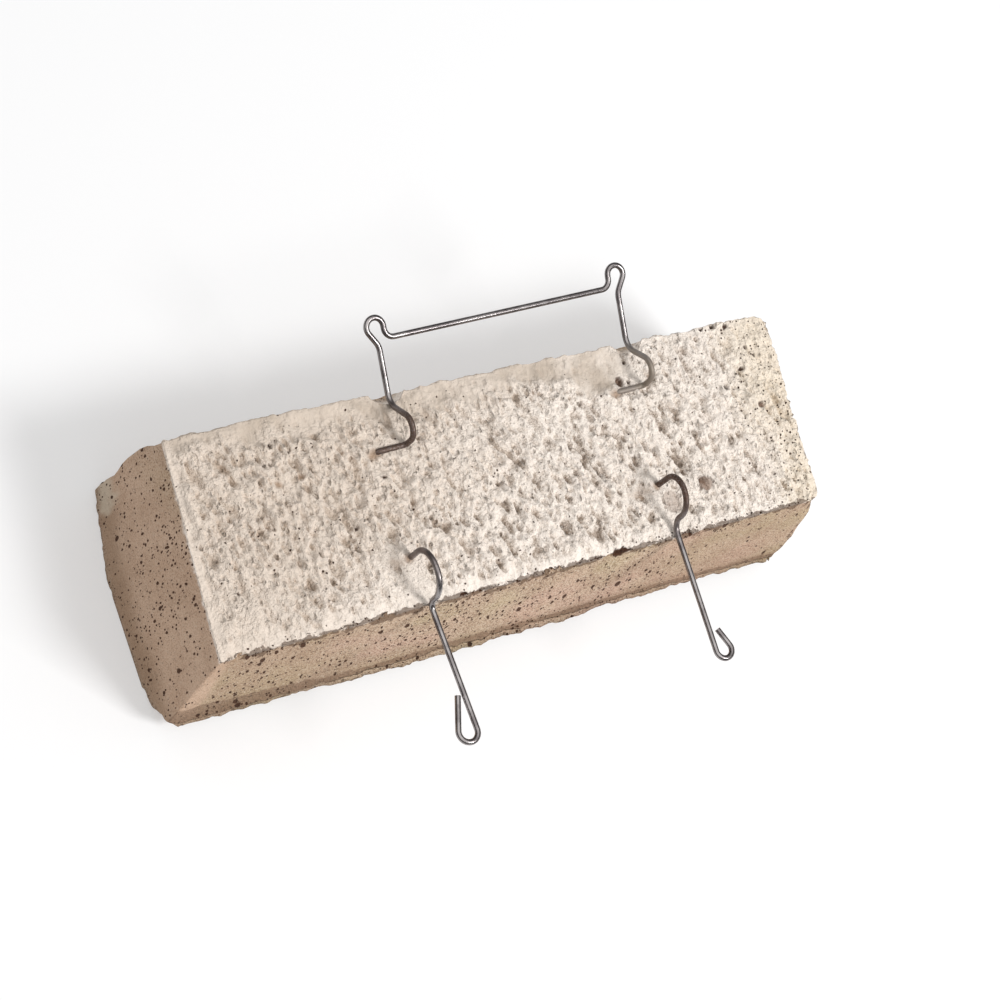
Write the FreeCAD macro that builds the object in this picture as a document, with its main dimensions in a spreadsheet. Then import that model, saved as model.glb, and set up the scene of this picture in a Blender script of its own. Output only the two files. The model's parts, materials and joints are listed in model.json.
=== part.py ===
import FreeCAD, Part
import math
import os

import Sketcher

# A cast ledgestone veneer unit lying on its face, with three bent wires cast into its back.
# X runs along the unit, Y toward the hanger wire, Z up out of the back; the floor is Z = 0.

# Sizes in millimetres, angles in degrees.
SIZES = {
    # the stone's back, an irregular four-sided outline, then how each side leans out to the face
    "stone_depth": 70.0,
    "upper_left_corner_x": -139.6,
    "upper_left_corner_y": 44.3,
    "upper_edge_length": 288.9,
    "upper_edge_climb": 0.3,
    "left_end_height": 89.1,
    "left_end_lean": 6.1,
    "right_end_height": 85.7,
    "right_end_lean": 5.8,
    "upper_side_draft": 6.5,
    "lower_side_draft": 7.5,
    "left_end_draft": 5.5,
    "right_end_draft": 7.0,
    "lower_cleft_width": 20.0,
    "lower_cleft_rise": 8.0,
    "upper_cleft_width": 12.0,
    "upper_cleft_rise": 5.0,
    "right_corner_radius": 6.0,
    "upper_notch_radius": 9.0,
    "upper_notch_bite": 4.0,
    # flat-bottomed dishes in the back: where each lies, its radius at the back and its depth
    "dish_wall_run": 1.5,
    "hanger_dish_x": 63.5,
    "hanger_dish_y": 37.0,
    "hanger_dish_radius": 5.5,
    "hanger_dish_bite": 0.8,
    "stain_dish_x": -97.0,
    "stain_dish_y": 17.0,
    "stain_dish_radius": 6.0,
    "stain_dish_bite": 0.9,
    "arch_dish_x": 71.5,
    "arch_dish_y": -27.0,
    "arch_dish_radius": 4.6,
    "arch_dish_bite": 0.9,
    # round hollows: where each lies, the ball that presses it and how deep it goes
    "pebble_hollow_x": 90.0,
    "pebble_hollow_y": -23.0,
    "pebble_hollow_radius": 5.2,
    "pebble_hollow_bite": 1.2,
    "oval_pit_x": 68.0,
    "oval_pit_y": 29.0,
    "oval_pit_radius": 2.2,
    "oval_pit_bite": 2.0,
    "edge_hole_x": 38.5,
    "edge_hole_y": -43.6,
    "edge_hole_radius": 4.8,
    "edge_hole_bite": 3.4,
    "small_edge_hole_x": 26.5,
    "small_edge_hole_y": -44.0,
    "small_edge_hole_radius": 3.4,
    "small_edge_hole_bite": 2.2,
    # the dimples toward the right end, all pressed alike
    "dimple_radius": 3.0,
    "dimple_bite": 1.3,
    "first_dimple_x": 107.0,
    "first_dimple_y": -4.0,
    "second_dimple_x": 111.5,
    "second_dimple_y": -10.5,
    "third_dimple_x": 114.5,
    "third_dimple_y": -17.5,
    "fourth_dimple_x": 116.0,
    "fourth_dimple_y": 3.5,
    "fifth_dimple_x": 99.5,
    "fifth_dimple_y": -15.0,
    "sixth_dimple_x": 94.0,
    "sixth_dimple_y": 5.0,
    # the shallow step that runs across the back
    "step_x": -46.5,
    "step_lower_y": -12.0,
    "step_length": 31.0,
    "step_radius": 3.4,
    "step_bite": 1.0,
    # all the wires, which end in a bent foot inside the stone
    "wire_diameter": 2.5,
    "foot_length": 8.0,
    "foot_bend_radius": 4.0,
    "embed_depth": 24.0,
    # the left tie wire
    "tie_left_x": -54.3,
    "tie_left_inset": 19.9,
    "tie_left_arch_radius": 10.0,
    "tie_left_drop": 1.3,
    "tie_left_edge_bend_radius": 4.3,
    "tie_left_height": 1.4,
    "tie_left_run": 29.3,
    "tie_left_leg": 20.0,
    "tie_left_eye_radius": 4.15,
    "tie_left_tail_angle": 21.0,
    "tie_left_tail_length": 14.2,
    "tie_left_swing": 1.1,
    # the right tie wire
    "tie_right_x": 67.9,
    "tie_right_inset": 24.5,
    "tie_right_arch_radius": 8.7,
    "tie_right_drop": 1.0,
    "tie_right_edge_bend_radius": 5.8,
    "tie_right_height": 1.8,
    "tie_right_run": 31.8,
    "tie_right_leg": 20.0,
    "tie_right_eye_radius": 3.75,
    "tie_right_tail_angle": 24.0,
    "tie_right_tail_length": 8.1,
    "tie_right_swing": 2.8,
    # the hanger wire, the same on both sides
    "hanger_centre_x": 19.9,
    "hanger_half_width": 58.9,
    "hanger_inset": 20.7,
    "hanger_swing": 1.3,
    "arm_height": 0.4,
    "arm_length": 9.0,
    "arm_bend_radius": 2.6,
    "hanger_arch_radius": 5.6,
    "hanger_arch_turn": 138.0,
    "hanger_drop": 8.1,
    "hanger_edge_height": 1.0,
    "hanger_edge_bend_radius": 6.9,
    "leg_slope": 22.0,
    "leg_lower_length": 5.0,
    "leg_upper_length": 12.1,
    "jog_radius": 6.6,
    "jog_angle": 32.0,
    "jog_length": 4.9,
    "shoulder_radius": 3.9,
    "shoulder_return": 1.2,
    "crossbar_bend_radius": 4.0,
}


def tie_formulas(side):
    """Lengths and places of one tie wire that follow from its sizes."""
    formulas = {
        "_entry_y": "lower_edge_y + {0}_inset",
        "_up": "embed_depth - foot_bend_radius + {0}_height + {0}_edge_bend_radius + {0}_drop",
        "_join_y": "-2 * {0}_arch_radius - {0}_edge_bend_radius - {0}_run",
        "_join_z": "stone_depth + {0}_height",
        "_eye_turn": "180 + {0}_tail_angle",
    }
    key = "tie_" + side
    return {key + name: formula.format(key) for name, formula in formulas.items()}


def dish_formulas(name):
    """The two radii, the floor and the height of the cone that cuts one dish."""
    formulas = {
        "_z": "stone_depth - {0}_bite",
        "_floor_radius": "{0}_radius - dish_wall_run * {0}_bite",
        "_top_radius": "{0}_radius + dish_wall_run * {0}_bite",
        "_height": "2 * {0}_bite",
    }
    return {name + suffix: formula.format(name) for suffix, formula in formulas.items()}


DISHES = ("hanger_dish", "stain_dish", "arch_dish")
HOLLOWS = ("pebble_hollow", "oval_pit", "edge_hole", "small_edge_hole")
DIMPLES = (
    "first_dimple",
    "second_dimple",
    "third_dimple",
    "fourth_dimple",
    "fifth_dimple",
    "sixth_dimple",
)

# Lengths worked out from the sizes above, as formulas in the same sheet.
DERIVED = {
    **{name + "_z": "stone_depth + {0}_radius - {0}_bite".format(name) for name in HOLLOWS},
    **dish_formulas("hanger_dish"),
    **dish_formulas("stain_dish"),
    **dish_formulas("arch_dish"),
    "dimple_z": "stone_depth + dimple_radius - dimple_bite",
    "step_z": "stone_depth + step_radius - step_bite",
    "upper_right_corner_x": "upper_left_corner_x + upper_edge_length",
    "upper_right_corner_y": "upper_left_corner_y + upper_edge_climb",
    "lower_left_corner_x": "upper_left_corner_x - left_end_lean",
    "lower_left_corner_y": "upper_left_corner_y - left_end_height",
    "lower_right_corner_x": "upper_right_corner_x - right_end_lean",
    "lower_right_corner_y": "upper_right_corner_y - right_end_height",
    "upper_edge_y": "(upper_left_corner_y + upper_right_corner_y) / 2",
    "lower_edge_y": "(lower_left_corner_y + lower_right_corner_y) / 2",
    "wire_radius": "wire_diameter / 2",
    "foot_z": "stone_depth - embed_depth",
    "foot_reach": "foot_length + foot_bend_radius",
    **tie_formulas("left"),
    **tie_formulas("right"),
    "hanger_arm_y": "upper_edge_y - hanger_inset",
    "hanger_left_x": "-hanger_half_width",
    "arm_up": "embed_depth - foot_bend_radius + arm_height - arm_bend_radius",
    "arm_rise": "hanger_edge_height + hanger_edge_bend_radius * (1 - sin(hanger_arch_turn * 1deg))"
    " - hanger_drop * cos(hanger_arch_turn * 1deg)"
    " - hanger_arch_radius * sin(hanger_arch_turn * 1deg) - arm_height - arm_bend_radius",
    "arm_reach": "arm_length + 2 * arm_bend_radius + foot_reach",
    "left_foot_x": "-hanger_half_width - arm_reach",
    "right_foot_x": "hanger_half_width - arm_reach",
    "arch_start_z": "stone_depth + arm_height + arm_bend_radius",
    "edge_turn": "hanger_arch_turn - 90 + leg_slope",
    "leg_start_y": "hanger_arm_y + hanger_arch_radius * (1 - cos(hanger_arch_turn * 1deg))"
    " + hanger_drop * sin(hanger_arch_turn * 1deg)"
    " + hanger_edge_bend_radius * (sin(leg_slope * 1deg) - cos(hanger_arch_turn * 1deg))"
    " + leg_lower_length * cos(leg_slope * 1deg)",
    "leg_start_z": "stone_depth + hanger_edge_height + leg_lower_length * sin(leg_slope * 1deg)"
    " + hanger_edge_bend_radius * (1 - cos(leg_slope * 1deg))",
    "leg_ring_turn": "90 - leg_slope",
    "shoulder_turn": "180 + jog_angle",
    "crossbar_length": "2 * (hanger_half_width + jog_radius * (1 - cos(jog_angle * 1deg))"
    " + jog_length * sin(jog_angle * 1deg) - shoulder_radius * (1 + cos(jog_angle * 1deg))"
    " - crossbar_bend_radius)",
    "notch_y": "upper_edge_y + upper_notch_radius - upper_notch_bite",
    "notch_left_x": "hanger_centre_x - hanger_half_width * cos(hanger_swing * 1deg)"
    " - upper_edge_y * sin(hanger_swing * 1deg)",
    "notch_right_x": "hanger_centre_x + hanger_half_width * cos(hanger_swing * 1deg)"
    " - upper_edge_y * sin(hanger_swing * 1deg)",
}

TOUCH = 0.001

os.makedirs("parts", exist_ok=True)
doc = FreeCAD.newDocument("ledgestone_unit")
sheet = doc.addObject("Spreadsheet::Sheet", "Sizes")
for row, (alias, entry) in enumerate({**SIZES, **DERIVED}.items(), start=1):
    sheet.set("A%d" % row, alias)
    sheet.set("B%d" % row, str(entry) if alias in SIZES else "=" + entry)
    sheet.setAlias("B%d" % row, alias)
doc.recompute()


def size(alias):
    """The number a sheet cell holds now."""
    return float(sheet.get(alias))


def value(entry):
    """A plain number, or the number in the sheet cell of that name."""
    return size(entry) if isinstance(entry, str) else entry


def bind(obj, prop, alias):
    """Tie a property to a sheet cell."""
    obj.setExpression(prop, "Sizes." + alias)


def place(obj, turn, where):
    """Turn an object and set its origin from numbers and sheet cells."""
    obj.Placement = FreeCAD.Placement(FreeCAD.Vector(*(value(entry) for entry in where)), turn)
    for axis, entry in zip("xyz", where):
        if isinstance(entry, str):
            bind(obj, "Placement.Base." + axis, entry)


def swing(obj, axis, alias, where):
    """Place an object turned about an axis by the angle in a sheet cell."""
    place(obj, FreeCAD.Rotation(FreeCAD.Vector(*axis), size(alias)), where)
    bind(obj, "Placement.Rotation.Angle", alias)


def turn_from_axes(first, second):
    """The rotation that takes X to the first axis and Y to the second."""
    first = FreeCAD.Vector(*first)
    second = FreeCAD.Vector(*second)
    return FreeCAD.Rotation(first, second, first.cross(second), "XYZ")


def path_sketch(name, turn, where, steps, heading=0):
    """A planar wire centreline that starts at the sketch's origin.

    Steps are ("line", length) or ("arc", radius, angle, side), with side +1 for a left turn.
    """
    sketch = doc.addObject("Sketcher::SketchObject", name)
    place(sketch, turn, where)
    upward = FreeCAD.Vector(0, 0, 1)
    here = FreeCAD.Vector(0, 0, 0)
    ends = []
    for step in steps:
        ahead = FreeCAD.Rotation(upward, heading).multVec(FreeCAD.Vector(1, 0, 0))
        if step[0] == "line":
            after = here + ahead * size(step[1])
            sketch.addGeometry(Part.LineSegment(here, after), False)
            ends.append((1, 2))
        else:
            side = step[3]
            angle = value(step[2]) * side
            centre = here + FreeCAD.Vector(-ahead.y, ahead.x, 0) * (size(step[1]) * side)
            middle = centre + FreeCAD.Rotation(upward, angle / 2).multVec(here - centre)
            after = centre + FreeCAD.Rotation(upward, angle).multVec(here - centre)
            sketch.addGeometry(Part.Arc(here, middle, after), False)
            heading += angle
            ends.append((1, 2) if side > 0 else (2, 1))
        here = after
    sketch.addConstraint(Sketcher.Constraint("Coincident", 0, ends[0][0], -1, 1))
    level = abs(sketch.Geometry[0].EndPoint.y) < 1e-6
    sketch.addConstraint(Sketcher.Constraint("Horizontal" if level else "Vertical", 0))
    for index in range(1, len(steps)):
        before = ends[index - 1][1]
        sketch.addConstraint(Sketcher.Constraint("Tangent", index - 1, before, index, ends[index][0]))
    for index, step in enumerate(steps):
        kind = "Distance" if step[0] == "line" else "Radius"
        number = sketch.addConstraint(Sketcher.Constraint(kind, index, size(step[1])))
        bind(sketch, "Constraints[%d]" % number, step[1])
        if step[0] == "arc":
            turned = Sketcher.Constraint("Angle", index, math.radians(value(step[2])))
            number = sketch.addConstraint(turned)
            if isinstance(step[2], str):
                sketch.setExpression("Constraints[%d]" % number, "Sizes.%s * 1deg" % step[2])
    return sketch


def swept(name, sketch, ring, steps):
    """A round rod swept along a centreline sketch."""
    bind(ring, "Radius", "wire_radius")
    doc.recompute()
    rod = doc.addObject("Part::Sweep", name)
    rod.Sections = [ring]
    rod.Spine = (sketch, ["Edge%d" % (index + 1) for index in range(len(steps))])
    rod.Solid = True
    rod.Frenet = False
    return rod


def bent_rod(name, turn, where, steps):
    """A rod bent in one upright or level plane."""
    sketch = path_sketch(name + "_path", turn, where, steps)
    ring = doc.addObject("Part::Circle", name + "_ring")
    facing_start = FreeCAD.Rotation(FreeCAD.Vector(0, 1, 0), 90)
    place(ring, turn.multiply(facing_start), where)
    return swept(name, sketch, ring, steps)


def joined(name, rods, axis, alias, where):
    """One wire made from rods that meet end to end, swung a little in the back's plane."""
    wire = doc.addObject("Part::MultiFuse", name)
    wire.Shapes = rods
    wire.Refine = False
    wire.Label = name
    swing(wire, axis, alias, where)
    return wire


def tie_wire(side, tail, axis):
    """An anchored tie wire: foot, standing arch, run over the lower edge, teardrop eye.

    It is bent about the leg that rises out of the stone, then moved there.
    """
    key = "tie_" + side
    arch = bent_rod(
        key + "_arch",
        turn_from_axes((0, -1, 0), (0, 0, 1)),
        (0, "foot_reach", "foot_z"),
        [
            ("line", "foot_length"),
            ("arc", "foot_bend_radius", 90, 1),
            ("line", key + "_up"),
            ("arc", key + "_arch_radius", 180, -1),
            ("line", key + "_drop"),
            ("arc", key + "_edge_bend_radius", 90, 1),
            ("line", key + "_run"),
        ],
    )
    eye = bent_rod(
        key + "_eye",
        turn_from_axes((0, -1, 0), (1, 0, 0)),
        (0, key + "_join_y", key + "_join_z"),
        [
            ("line", key + "_leg"),
            ("arc", key + "_eye_radius", key + "_eye_turn", tail),
            ("line", key + "_tail_length"),
        ],
    )
    where = (key + "_x", key + "_entry_y", 0)
    return joined("tie_wire_" + side, [arch, eye], axis, key + "_swing", where)


def hanger_side(side, foot_x, arch_x):
    """One side of the hanger: an arm let into the back, then the arch that falls to the edge."""
    arm = bent_rod(
        "hanger_%s_arm" % side,
        turn_from_axes((1, 0, 0), (0, 0, 1)),
        (foot_x, "hanger_arm_y", "foot_z"),
        [
            ("line", "foot_length"),
            ("arc", "foot_bend_radius", 90, 1),
            ("line", "arm_up"),
            ("arc", "arm_bend_radius", 90, -1),
            ("line", "arm_length"),
            ("arc", "arm_bend_radius", 90, 1),
        ],
    )
    arch = bent_rod(
        "hanger_%s_arch" % side,
        turn_from_axes((0, 0, 1), (0, -1, 0)),
        (arch_x, "hanger_arm_y", "arch_start_z"),
        [
            ("line", "arm_rise"),
            ("arc", "hanger_arch_radius", "hanger_arch_turn", -1),
            ("line", "hanger_drop"),
            ("arc", "hanger_edge_bend_radius", "edge_turn", 1),
            ("line", "leg_lower_length"),
        ],
    )
    return [arm, arch]


def hanger_frame():
    """The legs, shoulders and crossbar, bent in one plane that leans up from the stone's edge."""
    half = [
        ("line", "leg_upper_length"),
        ("arc", "jog_radius", "jog_angle", 1),
        ("line", "jog_length"),
        ("arc", "shoulder_radius", "shoulder_turn", -1),
        ("line", "shoulder_return"),
        ("arc", "crossbar_bend_radius", 90, 1),
    ]
    steps = half + [("line", "crossbar_length")] + half[::-1]
    where = ("hanger_left_x", "leg_start_y", "leg_start_z")
    sketch = path_sketch("hanger_frame_path", FreeCAD.Rotation(), where, steps, 90)
    swing(sketch, (1, 0, 0), "leg_slope", where)
    ring = doc.addObject("Part::Circle", "hanger_frame_ring")
    swing(ring, (-1, 0, 0), "leg_ring_turn", where)
    return swept("hanger_frame", sketch, ring, steps)


def hanger_wire():
    """The hanger, bent about its own middle, then moved to its place along the upper edge."""
    rods = hanger_side("left", "left_foot_x", "hanger_left_x") + [hanger_frame()]
    rods += hanger_side("right", "right_foot_x", "hanger_half_width")
    return joined("hanger_wire", rods, (0, 0, 1), "hanger_swing", ("hanger_centre_x", 0, 0))


def faces_toward(shape, axis, sign):
    """Names of the face whose centre lies farthest along one signed axis."""
    best = max(
        range(len(shape.Faces)),
        key=lambda index: sign * shape.Faces[index].CenterOfMass[axis],
    )
    return "Face%d" % (best + 1)


def edges_where(shape, test):
    """Names of the edges whose middle point passes a test."""
    names = []
    for index, edge in enumerate(shape.Edges):
        if test(edge.CenterOfMass, edge.BoundBox):
            names.append("Edge%d" % (index + 1))
    return names


def stone_blank():
    """The stone without notches or sockets: a leaning block that widens toward its face.

    It is built below Z = 0, so that each taper turns about the back's outline, then raised.
    """
    body = doc.addObject("PartDesign::Body", "stone_blank")
    bind(body, "Placement.Base.z", "stone_depth")
    outline = body.newObject("Sketcher::SketchObject", "back_outline")
    corners = ["upper_left", "lower_left", "lower_right", "upper_right"]
    points = [FreeCAD.Vector(size(c + "_corner_x"), size(c + "_corner_y"), 0) for c in corners]
    for index in range(4):
        outline.addGeometry(Part.LineSegment(points[index], points[(index + 1) % 4]), False)
    for index in range(4):
        outline.addConstraint(Sketcher.Constraint("Coincident", index, 2, (index + 1) % 4, 1))
    for index, corner in enumerate(corners):
        for axis, offset in (("x", points[index].x), ("y", points[index].y)):
            held = Sketcher.Constraint("Distance" + axis.upper(), -1, 1, index, 1, offset)
            number = outline.addConstraint(held)
            bind(outline, "Constraints[%d]" % number, "%s_corner_%s" % (corner, axis))
    block = body.newObject("PartDesign::Pad", "block")
    block.Profile = outline
    block.Reversed = True
    bind(block, "Length", "stone_depth")
    doc.recompute()
    solid = block
    for name, axis, sign in (
        ("upper_side", 1, 1),
        ("lower_side", 1, -1),
        ("left_end", 0, -1),
        ("right_end", 0, 1),
    ):
        draft = body.newObject("PartDesign::Draft", name + "_taper")
        draft.Base = (solid, [faces_toward(solid.Shape, axis, sign)])
        draft.NeutralPlane = (solid, [faces_toward(solid.Shape, 2, 1)])
        draft.Reversed = False
        bind(draft, "Angle", name + "_draft")
        doc.recompute()
        solid = draft
    for name, sign, flipped in (("lower_cleft", -1, True), ("upper_cleft", 1, False)):
        edges = edges_where(
            solid.Shape,
            lambda middle, box: box.ZMax < TOUCH - size("stone_depth")
            and middle.y * sign > size("lower_cleft_width") / 2,
        )
        bevel = body.newObject("PartDesign::Chamfer", name)
        bevel.Base = (solid, edges)
        bevel.ChamferType = "Two distances"
        bevel.FlipDirection = flipped
        bind(bevel, "Size", name + "_width")
        bind(bevel, "Size2", name + "_rise")
        doc.recompute()
        solid = bevel
    worn = body.newObject("PartDesign::Fillet", "worn_right_corners")
    worn.Base = (
        solid,
        edges_where(
            solid.Shape,
            lambda middle, box: middle.x > 0 and box.ZLength > size("stone_depth") / 2,
        ),
    )
    bind(worn, "Radius", "right_corner_radius")
    doc.recompute()
    return body


def ball(name, radius, where):
    """A ball that is taken out of the stone."""
    made = doc.addObject("Part::Sphere", name)
    bind(made, "Radius", radius)
    place(made, FreeCAD.Rotation(), where)
    return made


def dish(name):
    """A shallow cone, taken out of the back for a dish with sloping walls."""
    cone = doc.addObject("Part::Cone", name)
    bind(cone, "Radius1", name + "_floor_radius")
    bind(cone, "Radius2", name + "_top_radius")
    bind(cone, "Height", name + "_height")
    place(cone, FreeCAD.Rotation(), (name + "_x", name + "_y", name + "_z"))
    return cone


def cut(name, base, parts):
    """The base with every one of the parts taken out of it."""
    tool = doc.addObject("Part::Compound", name + "_cuts")
    tool.Links = parts
    made = doc.addObject("Part::Cut", name)
    made.Base = base
    made.Tool = tool
    return made


def back_relief():
    """What is broken or pressed out of the back: notches, dishes, hollows, dimples and a step."""
    made = [
        ball("notch_" + side, "upper_notch_radius", ("notch_%s_x" % side, "notch_y", "stone_depth"))
        for side in ("left", "right")
    ]
    made += [dish(name) for name in DISHES]
    for name in HOLLOWS:
        made.append(ball(name, name + "_radius", tuple(name + axis for axis in ("_x", "_y", "_z"))))
    for name in DIMPLES:
        made.append(ball(name, "dimple_radius", (name + "_x", name + "_y", "dimple_z")))
    step = doc.addObject("Part::Cylinder", "step")
    bind(step, "Radius", "step_radius")
    bind(step, "Height", "step_length")
    along_y = FreeCAD.Rotation(FreeCAD.Vector(1, 0, 0), -90)
    place(step, along_y, ("step_x", "step_lower_y", "step_z"))
    return made + [step]


wires = [hanger_wire(), tie_wire("left", -1, (0, 0, 1)), tie_wire("right", 1, (0, 0, -1))]
socketed = cut("socketed_stone", stone_blank(), wires)
stone = cut("cast_stone", socketed, back_relief())
doc.recompute()

for obj in doc.Objects:
    if "Invalid" in obj.State or "Error" in obj.State:
        raise RuntimeError("%s: %s" % (obj.Name, obj.State))
for part in [stone] + wires:
    if part.Shape.isNull() or not part.Shape.isValid():
        raise RuntimeError("%s has no valid shape" % part.Label)
    print(part.Label, len(part.Shape.Solids), "solid", round(part.Shape.Volume), part.Shape.BoundBox)
    part.Shape.exportStep("parts/%s.step" % part.Label)
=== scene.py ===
"""Looks of a cast ledgestone veneer unit that lies on its split face, with three bent wires in its back."""

import json
import logging
import math
from collections.abc import Callable, Iterable
from dataclasses import dataclass
from enum import Enum

import bmesh
import bpy
import numpy as np
from mathutils import Matrix, Vector, noise

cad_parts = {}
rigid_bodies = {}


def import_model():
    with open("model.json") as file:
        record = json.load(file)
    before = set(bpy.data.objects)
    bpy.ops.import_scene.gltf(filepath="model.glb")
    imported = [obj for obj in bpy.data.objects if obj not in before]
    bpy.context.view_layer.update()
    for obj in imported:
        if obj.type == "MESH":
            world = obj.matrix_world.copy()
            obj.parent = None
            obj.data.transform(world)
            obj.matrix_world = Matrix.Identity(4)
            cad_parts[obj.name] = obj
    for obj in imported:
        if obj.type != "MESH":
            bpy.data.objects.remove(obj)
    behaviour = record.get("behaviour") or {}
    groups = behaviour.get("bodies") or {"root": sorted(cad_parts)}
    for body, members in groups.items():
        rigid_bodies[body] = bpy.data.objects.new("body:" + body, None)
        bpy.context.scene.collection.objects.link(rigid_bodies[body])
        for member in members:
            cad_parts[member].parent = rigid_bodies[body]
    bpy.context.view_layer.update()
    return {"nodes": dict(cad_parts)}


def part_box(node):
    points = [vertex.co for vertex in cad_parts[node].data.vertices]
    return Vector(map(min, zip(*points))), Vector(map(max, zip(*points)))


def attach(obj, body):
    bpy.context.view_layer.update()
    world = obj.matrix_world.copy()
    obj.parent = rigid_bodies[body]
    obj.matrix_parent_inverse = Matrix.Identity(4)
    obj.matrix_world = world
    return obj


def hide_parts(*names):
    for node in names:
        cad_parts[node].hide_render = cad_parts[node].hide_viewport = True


MM = 0.001
LOG = logging.getLogger("ledgestone")

Place = Callable[[float, float], Vector]
Socket = bpy.types.NodeSocket
Given = Socket | float | tuple


def steps(low: float, high: float, value: np.ndarray) -> np.ndarray:
    """A smooth rise from 0 at low to 1 at high.

    Args:
        low: where the rise starts.
        high: where it ends, below low for a fall.
        value: the numbers to grade.

    Returns:
        The graded numbers.
    """
    share = np.clip((value - low) / (high - low), 0.0, 1.0)
    return share * share * (3.0 - 2.0 * share)


@dataclass(frozen=True)
class Ripples:
    """Seeded noise from about -1 to 1: its lumps' size in mm along X, Y and Z, its shift and its layers."""

    grain: tuple[float, float, float]
    shift: float = 0.0
    layers: int = 1

    def over(self, points: np.ndarray, seed: float) -> np.ndarray:
        """The noise at points.

        Args:
            points: places in mm, one row each.
            seed: the stone's own seed.

        Returns:
            One value for each point.
        """
        scaled = points / np.array(self.grain) + (seed + self.shift)
        if self.layers == 1:
            return np.array([noise.noise(place) for place in scaled.tolist()])
        return np.array([noise.fractal(place, 0.8, 2.1, self.layers) for place in scaled.tolist()])


@dataclass(frozen=True)
class Cups:
    """Round hollows of mixed size: their spacing in mm along X, Y and Z, their shift and their share."""

    spacing: tuple[float, float, float]
    shift: float
    share: float

    def over(self, points: np.ndarray, seed: float) -> np.ndarray:
        """How deep in a hollow each point is.

        Args:
            points: places in mm, one row each.
            seed: the stone's own seed.

        Returns:
            A depth from 0 to 1 for each point.
        """
        deep = np.zeros(len(points))
        scaled = points / np.array(self.spacing) + (seed + self.shift)
        for index, place in enumerate(scaled.tolist()):
            away, middles = noise.voronoi(place)
            chance = noise.cell_vector(middles[0] * 7.31)
            if chance.x < self.share:
                reach = 0.22 + 0.3 * chance.y
                deep[index] = min(1.0, max(0.0, 1.9 * (1.0 - away[0] / reach))) * (0.5 + 0.5 * chance.z)
        return deep * deep * (3.0 - 2.0 * deep)


class MarkKind(Enum):
    """What a single mark on the stone's back is."""

    PIT = "pit"
    HOLLOW = "hollow"
    DISH = "dish"
    PEBBLE = "pebble"
    STAIN = "stain"
    GROOVE = "groove"
    PATCH = "patch"


@dataclass(frozen=True)
class Mark:
    """One mark on the back, in mm: its middle, half its width along X and Y, and its depth."""

    kind: MarkKind
    x: float
    y: float
    wide: float
    high: float
    deep: float = 0.0

    def reach(self, points: np.ndarray) -> np.ndarray:
        """How far each point is from the middle, where 1 is the mark's rim."""
        return np.hypot((points[:, 0] - self.x) / self.wide, (points[:, 1] - self.y) / self.high)


@dataclass(frozen=True)
class Quad:
    """A four-cornered outline in plan, in mm."""

    lower_left: tuple[float, float]
    lower_right: tuple[float, float]
    upper_right: tuple[float, float]
    upper_left: tuple[float, float]

    def at(self, s: float, t: float) -> Vector:
        """The point a share s along and a share t up the outline."""
        low = Vector(self.lower_left).lerp(Vector(self.lower_right), s)
        return low.lerp(Vector(self.upper_left).lerp(Vector(self.upper_right), s), t)


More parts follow.
